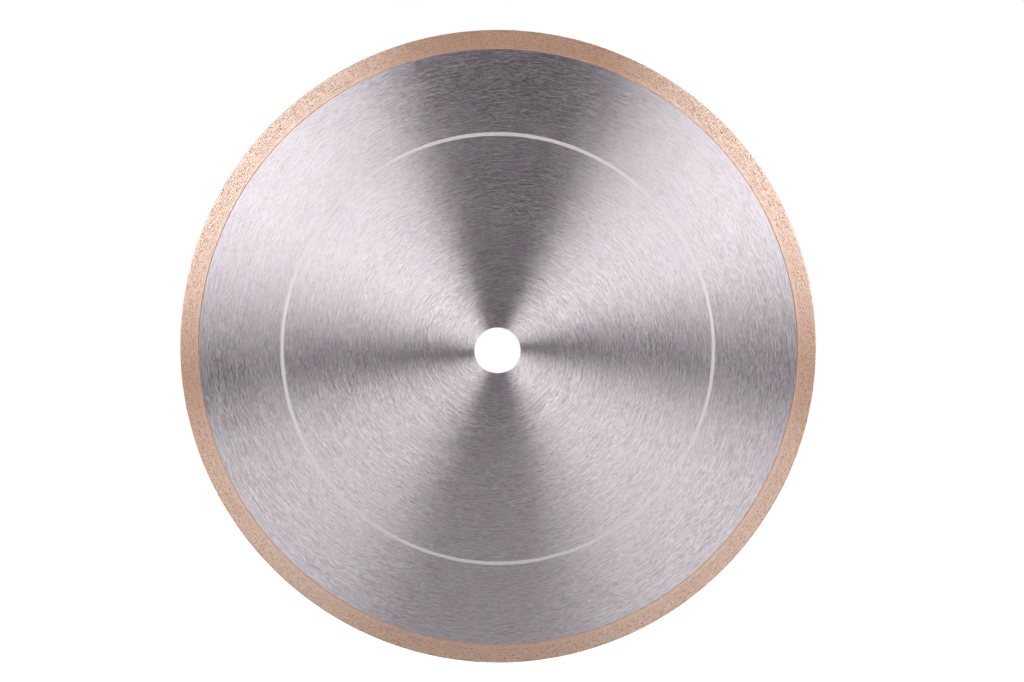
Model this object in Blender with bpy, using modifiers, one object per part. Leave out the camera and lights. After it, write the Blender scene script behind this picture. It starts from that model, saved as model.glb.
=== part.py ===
"""Continuous rim diamond blade: a 350 mm wheel with a 25.4 mm bore.

The wheel stands upright. It spins about the Y axis, its front face looks along -Y, and the
origin is the centre of the bore, half way through the plate.

A brushed steel core carries a bronze rim, which is soldered to the core's edge. The rim is
sintered in two layers: a plain backing ring against the joint and the diamond layer outside
it. A narrow matt ring is marked on each face of the core.

Every piece is a closed outline of (radius, height) points, turned about the spin axis with a
Screw modifier. All the outlines are turned in the same number of steps, so the fine gaps
between nested rings stay even all the way round.
"""

import math

import bpy

MM = 0.001

# Driving dimensions
BLADE_DIAMETER = 350 * MM
BORE_DIAMETER = 25.4 * MM
CORE_THICKNESS = 2.2 * MM
RIM_THICKNESS = 3.2 * MM
RIM_HEIGHT = 10 * MM
BACKING_HEIGHT = 1.7 * MM
JOINT_WIDTH = 0.2 * MM
JOINT_RECESS = 0.1 * MM
MARK_RADIUS = 118.8 * MM
MARK_WIDTH = 2.0 * MM
MARK_THICKNESS = 0.1 * MM
BORE_CHAMFER = 0.25 * MM
RIM_EDGE_RADIUS = 0.4 * MM
RIM_EDGE_POINTS = 4

# Clearance between neighbouring solids, and the steps in a full turn
CLEARANCE = 0.03 * MM
TURN_STEPS = 120
SHARP_ANGLE = math.radians(30)

# Dimensions that follow from the driving ones
BLADE_RADIUS = BLADE_DIAMETER / 2
BORE_RADIUS = BORE_DIAMETER / 2
RIM_ROOT_RADIUS = BLADE_RADIUS - RIM_HEIGHT
DIAMOND_ROOT_RADIUS = RIM_ROOT_RADIUS + BACKING_HEIGHT
CORE_RADIUS = RIM_ROOT_RADIUS - JOINT_WIDTH
HALF_CORE = CORE_THICKNESS / 2
HALF_RIM = RIM_THICKNESS / 2


def remove_all_objects():
    for existing in list(bpy.data.objects):
        bpy.data.objects.remove(existing, do_unlink=True)


def make_material(name, colour, metallic, roughness):
    material = bpy.data.materials.new(name)
    material.use_nodes = True
    shader = material.node_tree.nodes["Principled BSDF"]
    shader.inputs["Base Color"].default_value = (*colour, 1.0)
    shader.inputs["Metallic"].default_value = metallic
    shader.inputs["Roughness"].default_value = roughness
    return material


def turn(name, outline, material, spin_axis, collection):
    """Turn a closed outline about the spin axis. Its outer side runs from top to bottom."""
    drawing = bpy.data.meshes.new(name + "_outline")
    points = [(radius, 0.0, height) for radius, height in outline]
    edges = [(i, (i + 1) % len(points)) for i in range(len(points))]
    drawing.from_pydata(points, edges, [])

    turning = bpy.data.objects.new(name, drawing)
    collection.objects.link(turning)
    screw = turning.modifiers.new("turn", "SCREW")
    screw.axis = "Z"
    screw.angle = math.tau
    screw.steps = TURN_STEPS
    screw.render_steps = TURN_STEPS
    screw.merge_threshold = 0.001 * MM

    # The turned mesh takes the outline's place, so that its edges can be marked sharp.
    depsgraph = bpy.context.evaluated_depsgraph_get()
    solid = bpy.data.meshes.new_from_object(turning.evaluated_get(depsgraph))
    solid.name = name
    turning.modifiers.clear()
    turning.data = solid
    bpy.data.meshes.remove(drawing)
    solid.shade_smooth()
    solid.set_sharp_from_angle(angle=SHARP_ANGLE)
    solid.materials.clear()
    solid.materials.append(material)
    turning.parent = spin_axis
    return turning


def ring_outline(inner_radius, outer_radius, low, high):
    """A plain rectangular section."""
    return [(outer_radius, high), (outer_radius, low), (inner_radius, low), (inner_radius, high)]


def mark_groove(side):
    """The shallow groove for a ring mark on one face, from its outer edge to its inner one."""
    depth = MARK_THICKNESS + 2 * CLEARANCE
    face = side * HALF_CORE
    floor = side * (HALF_CORE - depth)
    outer = MARK_RADIUS + MARK_WIDTH / 2 + CLEARANCE
    inner = MARK_RADIUS - MARK_WIDTH / 2 - CLEARANCE
    return [(outer, face), (outer, floor), (inner, floor), (inner, face)]


def core_outline():
    """The plate: square outer edge, a groove on each face and chamfers on the bore."""
    outer_edge = [(CORE_RADIUS, HALF_CORE), (CORE_RADIUS, -HALF_CORE)]
    rear_groove = mark_groove(-1)
    bore_wall = [
        (BORE_RADIUS + BORE_CHAMFER, -HALF_CORE),
        (BORE_RADIUS, -HALF_CORE + BORE_CHAMFER),
        (BORE_RADIUS, HALF_CORE - BORE_CHAMFER),
        (BORE_RADIUS + BORE_CHAMFER, HALF_CORE),
    ]
    front_groove = list(reversed(mark_groove(1)))
    return outer_edge + rear_groove + bore_wall + front_groove


def rounded_corner(side):
    """The dressed outer corner of the rim on one side, from the flank to the cutting edge."""
    centre_radius = BLADE_RADIUS - RIM_EDGE_RADIUS
    centre_height = HALF_RIM - RIM_EDGE_RADIUS
    corner = []
    for i in range(RIM_EDGE_POINTS):
        angle = math.radians(90) * (1 - i / (RIM_EDGE_POINTS - 1))
        radius = centre_radius + RIM_EDGE_RADIUS * math.cos(angle)
        height = centre_height + RIM_EDGE_RADIUS * math.sin(angle)
        corner.append((radius, side * height))
    return corner


def diamond_rim_outline():
    """The working layer: flat flanks, rounded outer corners and a square root."""
    root = DIAMOND_ROOT_RADIUS + CLEARANCE
    return rounded_corner(1) + list(reversed(rounded_corner(-1))) + [(root, -HALF_RIM), (root, HALF_RIM)]


def build():
    remove_all_objects()
    collection = bpy.data.collections.new("diamond_blade")
    bpy.context.scene.collection.children.link(collection)

    # The parts are turned about their own Z axis, and the empty tips that axis over to -Y.
    spin_axis = bpy.data.objects.new("spin_axis", None)
    spin_axis.rotation_euler = (math.radians(90), 0.0, 0.0)
    collection.objects.link(spin_axis)

    brushed_steel = make_material("brushed_steel", (0.52, 0.49, 0.51), 1.0, 0.35)
    solder = make_material("solder", (0.30, 0.24, 0.19), 1.0, 0.5)
    plain_bronze = make_material("plain_bronze", (0.66, 0.46, 0.35), 1.0, 0.5)
    diamond_bronze = make_material("diamond_bronze", (0.60, 0.41, 0.31), 1.0, 0.6)
    matt_marking = make_material("matt_marking", (0.56, 0.51, 0.54), 0.0, 0.8)

    joint_outline = ring_outline(
        CORE_RADIUS + CLEARANCE,
        RIM_ROOT_RADIUS - CLEARANCE,
        -HALF_CORE + JOINT_RECESS,
        HALF_CORE - JOINT_RECESS,
    )
    backing_outline = ring_outline(RIM_ROOT_RADIUS, DIAMOND_ROOT_RADIUS, -HALF_RIM, HALF_RIM)
    mark_inner = MARK_RADIUS - MARK_WIDTH / 2
    mark_outer = MARK_RADIUS + MARK_WIDTH / 2
    mark_top = HALF_CORE - CLEARANCE
    mark_bottom = mark_top - MARK_THICKNESS
    front_mark_outline = ring_outline(mark_inner, mark_outer, mark_bottom, mark_top)
    rear_mark_outline = ring_outline(mark_inner, mark_outer, -mark_top, -mark_bottom)

    turn("steel_core", core_outline(), brushed_steel, spin_axis, collection)
    turn("braze_joint", joint_outline, solder, spin_axis, collection)
    turn("rim_backing_ring", backing_outline, plain_bronze, spin_axis, collection)
    turn("diamond_rim", diamond_rim_outline(), diamond_bronze, spin_axis, collection)
    turn("front_ring_mark", front_mark_outline, matt_marking, spin_axis, collection)
    turn("rear_ring_mark", rear_mark_outline, matt_marking, spin_axis, collection)


build()
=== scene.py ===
"""The looks of a 350 mm continuous rim diamond blade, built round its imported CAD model."""

import math

import bmesh
import bpy
import numpy as np
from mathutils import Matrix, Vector


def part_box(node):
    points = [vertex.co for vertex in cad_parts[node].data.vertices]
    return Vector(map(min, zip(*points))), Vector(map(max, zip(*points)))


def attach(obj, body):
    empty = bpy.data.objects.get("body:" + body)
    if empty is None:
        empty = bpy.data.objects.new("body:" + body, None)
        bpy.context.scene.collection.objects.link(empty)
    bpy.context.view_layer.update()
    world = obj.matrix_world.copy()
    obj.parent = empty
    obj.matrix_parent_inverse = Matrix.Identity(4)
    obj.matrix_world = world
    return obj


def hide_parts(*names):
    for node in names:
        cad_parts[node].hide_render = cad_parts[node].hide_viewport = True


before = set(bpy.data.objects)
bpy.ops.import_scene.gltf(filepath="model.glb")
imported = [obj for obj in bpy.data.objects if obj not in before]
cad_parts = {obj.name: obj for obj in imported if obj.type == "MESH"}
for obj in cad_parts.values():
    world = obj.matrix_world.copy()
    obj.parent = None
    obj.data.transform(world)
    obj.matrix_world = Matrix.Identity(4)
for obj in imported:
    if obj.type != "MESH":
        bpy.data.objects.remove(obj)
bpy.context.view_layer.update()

MM = 0.001
WHITE = (1, 1, 1, 1)

# ---------------------------------------------------------------------------
# Sizes. The blade spins about Y, and its front face looks along -Y.
# ---------------------------------------------------------------------------

CORE_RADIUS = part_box("steel_core")[1].x
HALF_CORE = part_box("steel_core")[1].y
HALF_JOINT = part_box("braze_joint")[1].y
BACKING_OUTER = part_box("rim_backing_ring")[1].x
BLADE_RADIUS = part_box("diamond_rim")[1].x
HALF_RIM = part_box("diamond_rim")[1].y
MARK_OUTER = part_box("front_ring_mark")[1].x

BORE_RADIUS = 12.7 * MM
RIM_ROOT = 165.0 * MM
MARK_WIDTH = 2.0 * MM
MARK_INNER = MARK_OUTER - MARK_WIDTH
MARK_GROOVE_DEPTH = 0.12 * MM
MARK_INSET = 0.01 * MM
FINE_GAP = 0.02 * MM
LAYER_GAP = 0.006 * MM

RIM_CORNER = 0.4 * MM
RIM_CORNER_PARTS = 6
CORE_SOFTENING = 0.15 * MM
BACKING_SOFTENING = 0.04 * MM
JOINT_SOFTENING = 0.03 * MM
MARK_SOFTENING = 0.02 * MM

SHARP_ANGLE = math.radians(35)
STEPS_FINE = 720
STEPS_RIM = 1440
LONGEST_CORE_SIDE = 8 * MM
LONGEST_RIM_SIDE = 1 * MM

# A corner's arc takes up no more than this share of the sides beside it
MOST_OF_SIDE = 0.4

# How far past an arc's end its support point lies, as a share of the arc's reach
SUPPORT_REACH = 0.24


# ---------------------------------------------------------------------------
# Turned shapes
# ---------------------------------------------------------------------------


def softened(outline, radius, arc_points=4):
    """Rounds every corner of a closed outline.

    A support point beside each end of an arc keeps the flats flat under smooth shading.
    """
    result = []
    count = len(outline)
    for i, corner in enumerate(outline):
        corner = np.array(corner)
        before = np.array(outline[i - 1]) - corner
        after = np.array(outline[(i + 1) % count]) - corner
        shorter = min(np.linalg.norm(before), np.linalg.norm(after))
        reach = min(radius, MOST_OF_SIDE * shorter)
        before = before / np.linalg.norm(before) * reach
        after = after / np.linalg.norm(after) * reach
        result.append(tuple(corner + before * (1 + SUPPORT_REACH)))
        for k in range(arc_points + 1):
            t = k / arc_points
            bend = before * (1 - t) ** 2 + after * t**2
            result.append(tuple(corner + bend))
        result.append(tuple(corner + after * (1 + SUPPORT_REACH)))
    return result


def divided(outline, longest):
    """Adds points along a closed outline, so that no side is longer than the given length."""
    result = []
    for i, start in enumerate(outline):
        start = np.array(start)
        end = np.array(outline[(i + 1) % len(outline)])
        parts = max(1, math.ceil(np.linalg.norm(end - start) / longest))
        for k in range(parts):
            result.append(tuple(start + (end - start) * k / parts))
    return result


def turned(name, outline, steps):
    """A closed ring turned about Y from (radius, height) points, height being towards the front.

    The outline's outer side runs from front to back, which makes the faces point outwards.
    """
    points = np.array(outline)
    angles = np.linspace(0, math.tau, steps, endpoint=False)
    radius = points[:, 0][:, None]
    height = points[:, 1][:, None]
    x = radius * np.cos(angles)
    y = -height + np.zeros(steps)
    z = radius * np.sin(angles)
    vertices = np.stack([x, y, z], axis=-1).reshape(-1, 3)

    along = np.arange(len(points))[:, None]
    around = np.arange(steps)[None, :]
    next_along = (along + 1) % len(points)
    next_around = (around + 1) % steps
    faces = np.stack(
        [
            along * steps + around,
            next_along * steps + around,
            next_along * steps + next_around,
            along * steps + next_around,
        ],
        axis=-1,
    ).reshape(-1, 4)

    mesh = bpy.data.meshes.new(name)
    mesh.from_pydata(vertices.tolist(), [], faces.tolist())
    mesh.shade_smooth()
    mesh.set_sharp_from_angle(angle=SHARP_ANGLE)
    piece = bpy.data.objects.new(name, mesh)
    bpy.context.scene.collection.objects.link(piece)
    return piece


def ring(inner, outer, back, front):
    """A rectangular section, for a ring between two radii and two heights."""
    return [(outer, front), (outer, back), (inner, back), (inner, front)]


def place(piece, material, slot, *nodes):
    """Gives a piece its finish and body, and hides the CAD nodes that it stands for."""
    piece.data.materials.append(material)
    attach(piece, "root")
    if nodes:
        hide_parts(*nodes)


# ---------------------------------------------------------------------------
# Node helpers
# ---------------------------------------------------------------------------


# A mix node has sockets of the same names for numbers, vectors and colours. These are the
# places of the colour ones.
COLOUR_A = 6
COLOUR_B = 7
COLOUR_RESULT = 2

# Streaks are drawn in octaves of radius. The first begins inside the bore, and the noise of two
# neighbouring ones is taken far apart.
FIRST_OCTAVE = 10 * MM
OCTAVE_SPACING = 17.3

# In this octave the streaks slant twice as much as they would far out
DOUBLE_SLANT_OCTAVE = 2.0


class Nodes:
    """Short ways to add and link shader nodes in one material."""

    def __init__(self, name):
        self.material = bpy.data.materials.new(name)
        self.material.use_nodes = True
        self.tree = self.material.node_tree
        self.shader = self.tree.nodes["Principled BSDF"]

    def add(self, kind, **settings):
        node = self.tree.nodes.new(kind)
        for key, value in settings.items():
            setattr(node, key, value)
        return node

    def link(self, source, target):
        """Links a socket, or writes a plain value into the target."""
        if isinstance(source, bpy.types.NodeSocket):
            self.tree.links.new(source, target)
        else:
            target.default_value = source

    def math(self, operation, *values):
        node = self.add("ShaderNodeMath", operation=operation)
        for socket, value in zip(node.inputs, values):
            self.link(value, socket)
        return node.outputs["Value"]

    def point(self):
        """The place on the piece, in metres from the blade's centre."""
        return self.add("ShaderNodeTexCoord").outputs["Object"]

    def polar(self, plane="XZ"):
        """The distance from the origin in metres, and the angle round it, in one plane."""
        parts = self.add("ShaderNodeSeparateXYZ")
        self.link(self.point(), parts.inputs["Vector"])
        x, z = (parts.outputs[axis] for axis in plane)
        squares = self.math("ADD", self.math("MULTIPLY", x, x), self.math("MULTIPLY", z, z))
        return self.math("SQRT", squares), self.math("ARCTAN2", z, x)

    def noise(self, x, y, z, detail):
        join = self.add("ShaderNodeCombineXYZ")
        for socket, value in zip(join.inputs, (x, y, z)):
            self.link(value, socket)
        node = self.add("ShaderNodeTexNoise", noise_dimensions="3D")
        self.link(join.outputs["Vector"], node.inputs["Vector"])
        node.inputs["Scale"].default_value = 1.0
        node.inputs["Detail"].default_value = detail
        return node.outputs["Fac"]

    def blend(self, factor, first, second):
        node = self.add("ShaderNodeMix", data_type="FLOAT")
        self.link(factor, node.inputs["Factor"])
        self.link(first, node.inputs["A"])
        self.link(second, node.inputs["B"])
        return node.outputs["Result"]

    def mix_colour(self, factor, first, second):
        node = self.add("ShaderNodeMix", data_type="RGBA")
        self.link(factor, node.inputs["Factor"])
        self.link(first, node.inputs[COLOUR_A])
        self.link(second, node.inputs[COLOUR_B])
        return node.outputs[COLOUR_RESULT]

    def fade(self, value, start, end, low=0.0, high=1.0):
        """Runs smoothly from low to high while the value runs from start to end."""
        node = self.add("ShaderNodeMapRange", interpolation_type="SMOOTHSTEP")
        self.link(value, node.inputs["Value"])
        node.inputs["From Min"].default_value = start
        node.inputs["From Max"].default_value = end
        node.inputs["To Min"].default_value = low
        node.inputs["To Max"].default_value = high
        return node.outputs["Result"]

    def band(self, value, start, end, soft):
        """1 between two values and 0 outside them, with soft edges."""
        rise = self.fade(value, start - soft, start + soft)
        fall = self.fade(value, end - soft, end + soft, low=1.0, high=0.0)
        return self.math("MULTIPLY", rise, fall)

    def streaks(self, radius, angle, length, width, seed, slant=0.0, detail=2.0):
        """Noise drawn out round the axis, as grinding leaves it, at a slant to true circles.

        The number of streaks in a turn nearly doubles each time the radius does, and
        neighbouring octaves cross-fade, so that a streak is about as long anywhere on the
        plate. Near the bore it is somewhat shorter, and its slant is steeper.
        """
        octave = self.math("LOGARITHM", self.math("DIVIDE", radius, FIRST_OCTAVE), 2.0)
        whole = self.math("FLOOR", octave)
        part = self.math("SUBTRACT", octave, whole)
        across = self.math("DIVIDE", radius, width)
        per_radian = FIRST_OCTAVE / length
        layers = []
        for step in (0.0, 1.0):
            level = self.math("ADD", whole, step)
            turns = self.math("ADD", self.math("POWER", 2.0, level), 1.0)
            around = self.math("MULTIPLY", angle, self.math("MULTIPLY", turns, per_radian))
            inwards = self.math("SUBTRACT", DOUBLE_SLANT_OCTAVE, level)
            steeper = self.math("ADD", self.math("POWER", 2.0, inwards), 1.0)
            shift = self.math("MULTIPLY", around, steeper)
            shift = self.math("MULTIPLY", shift, slant * length / width)
            slanted = self.math("ADD", across, shift)
            apart = self.math("ADD", self.math("MULTIPLY", level, OCTAVE_SPACING), seed)
            layers.append(self.noise(around, slanted, apart, detail))
        return self.blend(part, *layers)

    def vector(self, operation, first, second):
        node = self.add("ShaderNodeVectorMath", operation=operation)
        self.link(first, node.inputs[0])
        self.link(second, node.inputs["Scale" if operation == "SCALE" else 1])
        return node.outputs["Vector"]

    def centred(self, noise, strength):
        """Noise moved to run either side of 0."""
        return self.math("MULTIPLY", self.math("SUBTRACT", noise, 0.5), strength)

    def wandered(self, radius, patch, reach, seed):
        """The radius, moved to and fro, so that streaks laid along it wander off a true circle."""
        drift = self.centred(self.mottle(patch, seed, detail=1.0), reach)
        return self.math("ADD", radius, drift)

    def mottle(self, patch, seed, detail=2.0):
        """Soft patches that have no direction."""
        node = self.add("ShaderNodeTexNoise", noise_dimensions="4D")
        self.link(self.point(), node.inputs["Vector"])
        node.inputs["W"].default_value = seed
        node.inputs["Scale"].default_value = 1 / patch
        node.inputs["Detail"].default_value = detail
        return node.outputs["Fac"]

    def pockets(self, spacing, size, share):
        """Round specks: 1 inside them and 0 outside, in a share of the cells."""
        node = self.add("ShaderNodeTexVoronoi", feature="F1")
        self.link(self.point(), node.inputs["Vector"])
        node.inputs["Scale"].default_value = 1 / spacing
        parts = self.add("ShaderNodeSeparateColor")
        self.link(node.outputs["Color"], parts.inputs["Color"])
        soft_edge = (size * 0.6, size * 1.2)
        inside = self.fade(node.outputs["Distance"], *soft_edge, low=1.0, high=0.0)
        chosen = self.math("LESS_THAN", parts.outputs["Red"], share)
        return self.math("MULTIPLY", inside, chosen)

    def round_axis(self):
        """The direction round the spin axis."""
        node = self.add("ShaderNodeTangent", direction_type="RADIAL", axis="Y")
        return node.outputs["Tangent"]

    def tilted(self, along, across):
        """The surface normal, leaned along the grain and across it."""
        tangent = self.round_axis()
        normal = self.add("ShaderNodeNewGeometry").outputs["Normal"]
        sideways = self.vector("CROSS_PRODUCT", normal, tangent)
        leaned = self.vector("ADD", normal, self.vector("SCALE", tangent, along))
        leaned = self.vector("ADD", leaned, self.vector("SCALE", sideways, across))
        return self.vector("NORMALIZE", leaned, (0, 0, 0))

    def bump(self, height, distance):
        node = self.add("ShaderNodeBump")
        node.inputs["Strength"].default_value = 1.0
        node.inputs["Distance"].default_value = distance
        self.link(height, node.inputs["Height"])
        return node.outputs["Normal"]

    def set(self, **values):
        for key, value in values.items():
            self.link(value, self.shader.inputs[key.replace("_", " ")])

    def brush_direction(self, rotation):
        """Turns the shader's grain to run round the spin axis."""
        self.set(Tangent=self.round_axis(), Anisotropic_Rotation=rotation)


# ---------------------------------------------------------------------------
# Materials
# ---------------------------------------------------------------------------

# A quarter turn lays the grain along the tangent. The offset is how far beside the axis the
# brush marks run.
BRUSH_ROTATION = 0.25
BRUSH_OFFSET = 1.4 * MM

# How far the two families of short marks slant, one each way, and the long marks
SHORT_SLANT = 0.085
LONG_SLANT = 0.04

# Rings on the plate, each by its inner and its outer radius
BLUE_RING = (160.2 * MM, 162.4 * MM)
STRAW_RING = (163.4 * MM, 165.0 * MM)
WORN_RING = (112 * MM, 132 * MM)

# The denoiser makes dark dashes on brushed metal that is smoother than this.
LEAST_ROUGHNESS = 0.28

STEEL_DARK = (0.425, 0.377, 0.407, 1)
STEEL_PALE = (0.845, 0.785, 0.813, 1)
STEEL_VIOLET = (0.60, 0.42, 0.62, 1)
STEEL_GREEN = (0.52, 0.62, 0.55, 1)
HEAT_BLUE = (0.56, 0.62, 0.70, 1)
HEAT_STRAW = (0.70, 0.58, 0.53, 1)
BRONZE_BROWN = (0.64, 0.262, 0.098, 1)
BRONZE_PALE = (0.91, 0.96, 0.97, 1)
BRONZE_STREAK = (0.44, 0.25, 0.15, 1)
BRONZE_RED = (0.60, 0.30, 0.24, 1)
BRONZE_OLIVE = (0.50, 0.46, 0.22, 1)
# Painted shade: the dark brown standing for the shade inside the rim's pits, over the bond's own
# brown
PIT_SHADE_BROWN = (0.34, 0.16, 0.075, 1)
SOLDER_DARK = (0.52, 0.41, 0.35, 1)
SOLDER_PALE = (0.74, 0.61, 0.54, 1)
MARK_DARK = (0.625, 0.58, 0.605, 1)
MARK_PALE = (0.69, 0.643, 0.667, 1)
DIAMOND_CLOUD = (0.50, 0.42, 0.28, 1)
DIAMOND_SHADES = (
    (0.0, (0.19, 0.08, 0.03, 1)),
    (0.45, (0.30, 0.14, 0.06, 1)),
    (0.75, (0.28, 0.20, 0.08, 1)),
    (1.0, (0.55, 0.45, 0.28, 1)),
)


def brushed_steel():
    n = Nodes("brushed_steel")
    radius, angle = n.polar()

    # Two families of short marks cross at a slant, each in its own patches.
    place_on_plate = (n.wandered(radius, patch=15 * MM, reach=3.5 * MM, seed=1.0), angle)
    one_way = n.streaks(
        *place_on_plate, length=5.0 * MM, width=0.42 * MM, seed=3.0, slant=SHORT_SLANT, detail=3.0
    )
    other_way = n.streaks(
        *place_on_plate, length=4.2 * MM, width=0.36 * MM, seed=23.0, slant=-SHORT_SLANT, detail=3.0
    )
    long_marks = n.streaks(
        *place_on_plate, length=15 * MM, width=0.40 * MM, seed=41.0, slant=LONG_SLANT
    )
    patch = n.fade(n.mottle(patch=3 * MM, seed=15.0), start=0.42, end=0.58)
    short_marks = n.blend(patch, one_way, other_way)
    long_share = 0.35
    marks = n.blend(long_share, short_marks, long_marks)

    shade = n.fade(marks, start=0.36, end=0.64)
    colour = n.mix_colour(shade, STEEL_DARK, STEEL_PALE)
    hue = n.fade(n.mottle(patch=13 * MM, seed=2.0), start=0.38, end=0.62)
    tint_share = 0.05
    colour = n.mix_colour(tint_share, colour, n.mix_colour(hue, STEEL_VIOLET, STEEL_GREEN))

    # Soldering the rim on left a blue ring and a straw one near the plate's edge.
    blue = n.math("MULTIPLY", n.band(radius, *BLUE_RING, soft=0.9 * MM), 0.25)
    colour = n.mix_colour(blue, colour, HEAT_BLUE)
    straw = n.math("MULTIPLY", n.band(radius, *STRAW_RING, soft=0.5 * MM), 0.30)
    colour = n.mix_colour(straw, colour, HEAT_STRAW)

    # Rougher marks catch light where the plate is dark, and lose a little where it is bright.
    # The plate is ground finer towards the bore, and roughest round the ring mark.
    coarse = n.fade(radius, start=25 * MM, end=90 * MM, low=0.12)
    clouds = n.mottle(patch=12 * MM, seed=7.0, detail=4.0)
    uneven = n.fade(clouds, start=0.34, end=0.66, high=0.03)
    catch = n.fade(marks, start=0.46, end=0.66, high=0.20)
    roughness = n.math("MULTIPLY", n.math("ADD", catch, uneven), coarse)
    worn = n.math("MULTIPLY", n.band(radius, *WORN_RING, soft=16 * MM), 0.035)
    roughness = n.math("ADD", roughness, worn)
    roughness = n.math("ADD", roughness, LEAST_ROUGHNESS)
    n.set(Base_Color=colour, Metallic=1.0, Roughness=roughness, Anisotropic=1.0)

    # The marks don't run quite true round the axis, which shows most near the bore.
    aside = n.math("DIVIDE", BRUSH_OFFSET / math.tau, radius)
    n.brush_direction(n.math("SUBTRACT", BRUSH_ROTATION, aside))

    # Each mark leans the surface a little, along the grain and across it.
    most_along = n.math("MULTIPLY", coarse, 0.10)
    along = n.centred(n.blend(patch, other_way, one_way), most_along)
    across = n.centred(one_way, strength=0.12)
    n.set(Normal=n.tilted(along, across))
    return n.material


def bronze(name, speckled):
    """Sintered bronze: pale where the ground grains shine, and brown in the pores between."""
    n = Nodes(name)
    radius, angle = n.polar()
    wander = n.wandered(radius, patch=5 * MM, reach=1 * MM, seed=4.0)
    ground = n.streaks(wander, angle, length=3 * MM, width=0.4 * MM, seed=5.0)
    pores = n.mottle(patch=0.2 * MM, seed=12.0, detail=1.0)
    shine = n.fade(pores, start=0.47, end=0.55, low=0.06, high=0.90)
    colour = n.mix_colour(shine, BRONZE_BROWN, BRONZE_PALE)
    streak = n.fade(ground, start=0.40, end=0.62, high=0.42)
    colour = n.mix_colour(streak, colour, BRONZE_STREAK)
    hue = n.fade(n.mottle(patch=2.2 * MM, seed=6.0), start=0.38, end=0.62)
    tint_share = 0.08
    colour = n.mix_colour(tint_share, colour, n.mix_colour(hue, BRONZE_RED, BRONZE_OLIVE))
    if speckled:
        # Painted shade: dark brown round specks stand for the shade inside pits that have no
        # geometry, and take the metal's shine away there
        pit_shade = n.math("MULTIPLY", n.pockets(spacing=0.9 * MM, size=0.36, share=0.4), 0.8)
        colour = n.mix_colour(pit_shade, colour, PIT_SHADE_BROWN)
        shine = n.math("MULTIPLY", shine, n.math("SUBTRACT", 1.0, pit_shade))
    rougher = LEAST_ROUGHNESS + 0.08
    roughness = n.fade(ground, start=0.50, end=0.68, low=LEAST_ROUGHNESS, high=rougher)
    n.set(Base_Color=colour, Metallic=shine, Roughness=roughness)
    n.set(Anisotropic=1.0, Specular_IOR_Level=0.2)
    n.brush_direction(BRUSH_ROTATION)
    n.set(Normal=n.tilted(along=n.centred(ground, 0.02), across=n.centred(ground, 0.2)))
    return n.material


def solder():
    n = Nodes("solder")
    radius, angle = n.polar()
    lumps = n.streaks(radius, angle, length=2 * MM, width=1 * MM, seed=7.0)
    colour = n.mix_colour(lumps, SOLDER_DARK, SOLDER_PALE)
    n.set(Base_Color=colour, Metallic=0.4, Roughness=0.5)
    n.set(Normal=n.bump(lumps, distance=0.05 * MM))
    return n.material


def ring_marking():
    n = Nodes("ring_marking")
    radius, angle = n.polar()
    grain = n.streaks(radius, angle, length=1.2 * MM, width=0.6 * MM, seed=13.0)
    shade = n.fade(grain, start=0.3, end=0.7)
    colour = n.mix_colour(shade, MARK_DARK, MARK_PALE)
    n.set(Base_Color=colour, Metallic=0.2, Roughness=0.32, Anisotropic=1.0)
    n.brush_direction(BRUSH_ROTATION)
    n.set(Normal=n.tilted(along=n.centred(grain, 0.05), across=n.centred(grain, 0.2)))
    return n.material


def diamond():
    """Small yellow, brown and olive crystals, each one its own shade."""
    n = Nodes("diamond")
    island = n.add("ShaderNodeNewGeometry").outputs["Random Per Island"]
    ramp = n.add("ShaderNodeValToRGB")
    stops = ramp.color_ramp.elements
    stops.remove(stops[1])
    for position, _ in DIAMOND_SHADES[1:]:
        stops.new(position)
    for stop, (position, shade) in zip(stops, DIAMOND_SHADES):
        stop.position = position
        stop.color = shade
    n.link(island, ramp.inputs["Fac"])
    cloud = n.fade(n.mottle(patch=0.3 * MM, seed=3.0), start=0.3, end=0.7, high=0.35)
    colour = n.mix_colour(cloud, ramp.outputs["Color"], DIAMOND_CLOUD)
    n.set(Base_Color=colour, Roughness=0.32, IOR=1.8)
    return n.material


# ---------------------------------------------------------------------------
# The blade's pieces
# ---------------------------------------------------------------------------


def make_core():
    groove_outer = MARK_OUTER + FINE_GAP
    groove_inner = MARK_INNER - FINE_GAP
    floor = HALF_CORE - MARK_GROOVE_DEPTH
    front_half = [
        (BORE_RADIUS, HALF_CORE),
        (groove_inner, HALF_CORE),
        (groove_inner, floor),
        (groove_outer, floor),
        (groove_outer, HALF_CORE),
        (CORE_RADIUS, HALF_CORE),
    ]
    rear_half = [(radius, -height) for radius, height in reversed(front_half)]
    outline = softened(front_half + rear_half, CORE_SOFTENING)
    core = turned("core_plate", divided(outline, LONGEST_CORE_SIDE), STEPS_FINE)
    place(core, brushed_steel(), "core_steel", "steel_core")


def make_marks():
    """The ring marks, each one just below its face and just above the floor of its groove."""
    material = ring_marking()
    top = HALF_CORE - MARK_INSET
    floor = HALF_CORE - MARK_GROOVE_DEPTH + MARK_INSET
    for name, node, side in (
        ("front_mark", "front_ring_mark", 1),
        ("rear_mark", "rear_ring_mark", -1),
    ):
        back, front = sorted((side * top, side * floor))
        section = ring(MARK_INNER, MARK_OUTER, back, front)
        mark = turned(name, softened(section, MARK_SOFTENING, arc_points=2), STEPS_FINE)
        place(mark, material, "ring_marking", node)


def make_joint():
    section = ring(CORE_RADIUS + FINE_GAP, RIM_ROOT - FINE_GAP, -HALF_JOINT, HALF_JOINT)
    line = turned("solder_line", softened(section, JOINT_SOFTENING), STEPS_FINE)
    place(line, solder(), "solder", "braze_joint")


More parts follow.
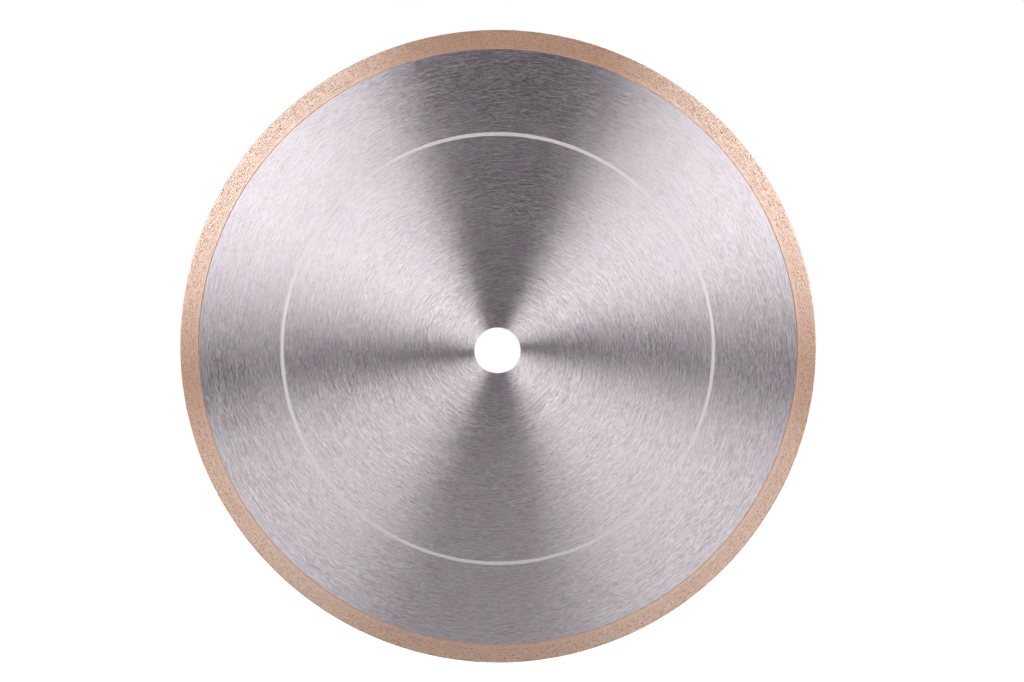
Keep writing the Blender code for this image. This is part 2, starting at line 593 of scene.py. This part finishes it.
def rim_corner(side):
    """The rounded outer corner of the rim on one side, from the flank to the cutting edge."""
    corner = []
    for k in range(RIM_CORNER_PARTS + 1):
        angle = math.radians(90) * k / RIM_CORNER_PARTS
        radius = BLADE_RADIUS - RIM_CORNER + RIM_CORNER * math.sin(angle)
        height = HALF_RIM - RIM_CORNER + RIM_CORNER * math.cos(angle)
        corner.append((radius, side * height))
    return corner


def make_rim():
    """The backing ring and the diamond layer, whose flanks were ground together."""
    section = softened(ring(RIM_ROOT, BACKING_OUTER, -HALF_RIM, HALF_RIM), BACKING_SOFTENING)
    backing = turned("backing_ring", divided(section, LONGEST_RIM_SIDE), STEPS_FINE)
    place(backing, bronze("plain_bronze", False), "backing_bronze", "rim_backing_ring")

    root = BACKING_OUTER + LAYER_GAP
    outline = rim_corner(1) + rim_corner(-1)[::-1] + [(root, -HALF_RIM), (root, HALF_RIM)]
    layer = turned("diamond_layer", divided(outline, LONGEST_RIM_SIDE), STEPS_RIM)
    place(layer, bronze("speckled_bronze", True), "diamond_bronze", "diamond_rim")


CRYSTAL_CELL = 1.25 * MM
CRYSTAL_SIZES = (0.42 * MM, 0.95 * MM)
CRYSTAL_SQUASH = (0.8, 1.1)
CRYSTAL_PROUD = (0.22, 0.38)
CRYSTAL_SHAKE = 0.16
CRYSTAL_SHARE = 0.6
GRIT_FROM_ROOT = 0.35 * MM
GRIT_FROM_EDGE = 0.45 * MM
FRONT_SEED = 11
REAR_SEED = 12
EDGE_SEED = 13


def cuboctahedron():
    """The corners and faces of a crystal with 6 square and 8 three-cornered sides."""
    corners = []
    for axis in range(3):
        for first in (-1, 1):
            for second in (-1, 1):
                corner = [0, 0, 0]
                corner[(axis + 1) % 3] = first
                corner[(axis + 2) % 3] = second
                corners.append(corner)
    corners = np.array(corners, dtype=float) / math.sqrt(2)
    shape = bmesh.new()
    for corner in corners:
        shape.verts.new(corner)
    bmesh.ops.convex_hull(shape, input=shape.verts)
    bmesh.ops.triangulate(shape, faces=shape.faces)
    shape.verts.index_update()
    faces = [[vertex.index for vertex in face.verts] for face in shape.faces]
    shape.free()
    return corners, np.array(faces)


def random_turns(random, count):
    """Rotation matrices spread evenly over every direction."""
    quaternions = random.normal(size=(count, 4))
    w, x, y, z = (quaternions / np.linalg.norm(quaternions, axis=1, keepdims=True)).T
    rows = [
        [1 - 2 * (y * y + z * z), 2 * (x * y - w * z), 2 * (x * z + w * y)],
        [2 * (x * y + w * z), 1 - 2 * (x * x + z * z), 2 * (y * z - w * x)],
        [2 * (x * z - w * y), 2 * (y * z + w * x), 1 - 2 * (x * x + y * y)],
    ]
    return np.array(rows).transpose(2, 0, 1)


def scattered(random, length, width):
    """Places in a strip, one in some of the cells of a grid, so that no two crystals touch."""
    columns = int(length / CRYSTAL_CELL)
    rows = max(1, int(width / CRYSTAL_CELL))
    along, across = np.meshgrid(np.arange(columns), np.arange(rows))
    picked = random.random(along.shape) < CRYSTAL_SHARE
    shake = random.uniform(-CRYSTAL_SHAKE, CRYSTAL_SHAKE, (2, picked.sum()))
    along = (along[picked] + 0.5 + shake[0] + 0.5 * (across[picked] % 2)) / columns * length
    across = (across[picked] + 0.5 + shake[1]) / rows * width
    return along, across


def make_crystals(name, material, centre, outward, random):
    """Crystals sunk into the rim, each with its top just proud of the surface."""
    corners, faces = cuboctahedron()
    count = len(centre)
    sizes = random.uniform(*CRYSTAL_SIZES, count)
    squash = random.uniform(*CRYSTAL_SQUASH, (count, 1, 3))
    shapes = np.einsum("nij,nkj->nki", random_turns(random, count), corners[None] * squash)
    shapes = shapes * (sizes / 2)[:, None, None]
    top = np.einsum("nki,ni->nk", shapes, outward).max(axis=1)
    proud = random.uniform(*CRYSTAL_PROUD, count) * sizes
    shapes = shapes + (centre + outward * (proud - top)[:, None])[:, None, :]

    vertices = shapes.reshape(-1, 3)
    all_faces = (faces[None] + (np.arange(count) * len(corners))[:, None, None]).reshape(-1, 3)
    mesh = bpy.data.meshes.new(name)
    mesh.from_pydata(vertices.tolist(), [], all_faces.tolist())
    piece = bpy.data.objects.new(name, mesh)
    bpy.context.scene.collection.objects.link(piece)
    place(piece, material, "diamond_bronze")


def make_flank_grit(name, material, side, seed):
    """Grit on one flank of the rim. The front flank's side is -1, towards -Y."""
    random = np.random.default_rng(seed)
    inner = BACKING_OUTER + GRIT_FROM_ROOT
    outer = BLADE_RADIUS - GRIT_FROM_EDGE
    middle = (inner + outer) / 2
    along, across = scattered(random, math.tau * middle, outer - inner)
    angle = along / middle
    radius = inner + across
    flank = np.full(len(angle), side * HALF_RIM)
    centre = np.stack([radius * np.cos(angle), flank, radius * np.sin(angle)], axis=1)
    outward = np.tile([0.0, side, 0.0], (len(angle), 1))
    make_crystals(name, material, centre, outward, random)


def make_edge_grit(material):
    """Grit on the cutting edge, between the rounded corners."""
    random = np.random.default_rng(EDGE_SEED)
    width = 2 * (HALF_RIM - GRIT_FROM_EDGE)
    along, across = scattered(random, math.tau * BLADE_RADIUS, width)
    angle = along / BLADE_RADIUS
    level = np.zeros(len(angle))
    outward = np.stack([np.cos(angle), level, np.sin(angle)], axis=1)
    centre = outward * BLADE_RADIUS + np.stack([level, across - width / 2, level], axis=1)
    make_crystals("edge_grit", material, centre, outward, random)


def make_grit():
    material = diamond()
    make_flank_grit("front_grit", material, -1, FRONT_SEED)
    make_flank_grit("rear_grit", material, 1, REAR_SEED)
    make_edge_grit(material)


# ---------------------------------------------------------------------------
# Floor, light and camera
# ---------------------------------------------------------------------------

CAMERA_DISTANCE = 1.262
CAMERA_ELEVATION = math.radians(5.65)
CAMERA_AZIMUTH = math.radians(0.8)
FOCAL_LENGTH = 80.5
CAMERA_SHIFT = (0.01415, 0.0092)
FLOOR_RADIUS = 3.0
ROOM_COLOUR = (1.0, 0.61, 1.0, 1)
ROOM_STRENGTH = 0.034


def direction(azimuth, elevation):
    """The unit vector towards a place round the blade. Azimuth 0 is in front of it."""
    level = math.cos(elevation)
    return Vector((level * math.sin(azimuth), -level * math.cos(azimuth), math.sin(elevation)))


def aim(thing):
    """Points a camera or a light at the blade's centre."""
    thing.rotation_euler = (-thing.location).to_track_quat("-Z", "Y").to_euler()


def make_camera():
    data = bpy.data.cameras.new("camera")
    data.lens = FOCAL_LENGTH
    data.sensor_width = 36
    data.shift_x, data.shift_y = CAMERA_SHIFT
    camera = bpy.data.objects.new("camera", data)
    camera.location = direction(CAMERA_AZIMUTH, CAMERA_ELEVATION) * CAMERA_DISTANCE
    aim(camera)
    bpy.context.scene.collection.objects.link(camera)
    bpy.context.scene.camera = camera


def make_softbox(name, lights_matt, azimuth, elevation, distance, width, height, roll, radiance):
    """A rectangular light aimed at the blade, for matt surfaces only or for shiny ones only."""
    data = bpy.data.lights.new(name, "AREA")
    data.shape = "RECTANGLE"
    data.size = width
    data.size_y = height
    data.energy = radiance * math.pi * width * height
    light = bpy.data.objects.new(name, data)
    light.location = direction(math.radians(azimuth), math.radians(elevation)) * distance
    aim(light)
    light.rotation_euler.rotate_axis("Z", math.radians(roll))
    light.visible_camera = False
    light.visible_diffuse = lights_matt
    light.visible_glossy = not lights_matt
    bpy.context.scene.collection.objects.link(light)


def make_lights():
    # The four large softboxes are what the metal reflects, and the two fills light what is matt.
    # name, lights_matt, azimuth, elevation, distance, width, height, roll, radiance
    softboxes = (
        ("upper_left", False, -34, 14.5, 1.1, 0.88, 0.68, 17, 3.15),
        ("upper_right", False, 37, 12.5, 1.1, 0.95, 0.58, -19, 3.4),
        ("lower_left", False, -30.5, -34, 1.8, 1.48, 1.52, 4, 1.15),
        ("lower_right", False, 21, -33, 1.7, 1.12, 1.39, -29, 1.42),
        ("left_fill", True, -52, 14, 0.6, 0.3, 0.3, 0, 10.5),
        ("right_fill", True, 52, 14, 0.6, 0.3, 0.3, 0, 10.5),
    )
    for name, lights_matt, azimuth, *rest in softboxes:
        make_softbox(name + "_softbox", lights_matt, azimuth, *rest)
        make_softbox(name + "_rear_softbox", lights_matt, azimuth + 180, *rest)


def make_world():
    """White behind the blade, and a dimmer room for it to reflect."""
    world = bpy.data.worlds.new("studio")
    bpy.context.scene.world = world
    world.use_nodes = True
    tree = world.node_tree
    tree.nodes.clear()
    path = tree.nodes.new("ShaderNodeLightPath")
    room = tree.nodes.new("ShaderNodeBackground")
    room.inputs["Color"].default_value = ROOM_COLOUR
    room.inputs["Strength"].default_value = ROOM_STRENGTH
    backdrop = tree.nodes.new("ShaderNodeBackground")
    backdrop.inputs["Color"].default_value = WHITE
    backdrop.inputs["Strength"].default_value = 1.0
    choose = tree.nodes.new("ShaderNodeMixShader")
    output = tree.nodes.new("ShaderNodeOutputWorld")
    tree.links.new(path.outputs["Is Camera Ray"], choose.inputs["Fac"])
    tree.links.new(room.outputs["Background"], choose.inputs[1])
    tree.links.new(backdrop.outputs["Background"], choose.inputs[2])
    tree.links.new(choose.outputs["Shader"], output.inputs["Surface"])


def make_floor():
    """A floor that is pale under the blade and plain white further away."""
    mesh = bpy.data.meshes.new("floor")
    corners = [(-1, -1), (1, -1), (1, 1), (-1, 1)]
    points = [(x * FLOOR_RADIUS, y * FLOOR_RADIUS, -BLADE_RADIUS) for x, y in corners]
    mesh.from_pydata(points, [], [(0, 1, 2, 3)])
    floor = bpy.data.objects.new("floor", mesh)
    bpy.context.scene.collection.objects.link(floor)

    # Only the camera sees it. A white floor that lit the blade would change its wedges.
    floor.visible_diffuse = False
    floor.visible_glossy = False
    floor.visible_shadow = False

    n = Nodes("white_floor")
    distance, _ = n.polar("XY")
    glow = n.fade(distance, start=0.15, end=0.7, low=0.75)
    n.set(Base_Color=WHITE, Roughness=1.0, Specular_IOR_Level=0.0)
    n.set(Emission_Color=WHITE, Emission_Strength=glow)
    mesh.materials.append(n.material)


make_camera()
make_lights()
make_world()
make_floor()
make_core()
make_marks()
make_joint()
make_rim()
make_grit()

bpy.context.scene.view_settings.view_transform = "Standard"
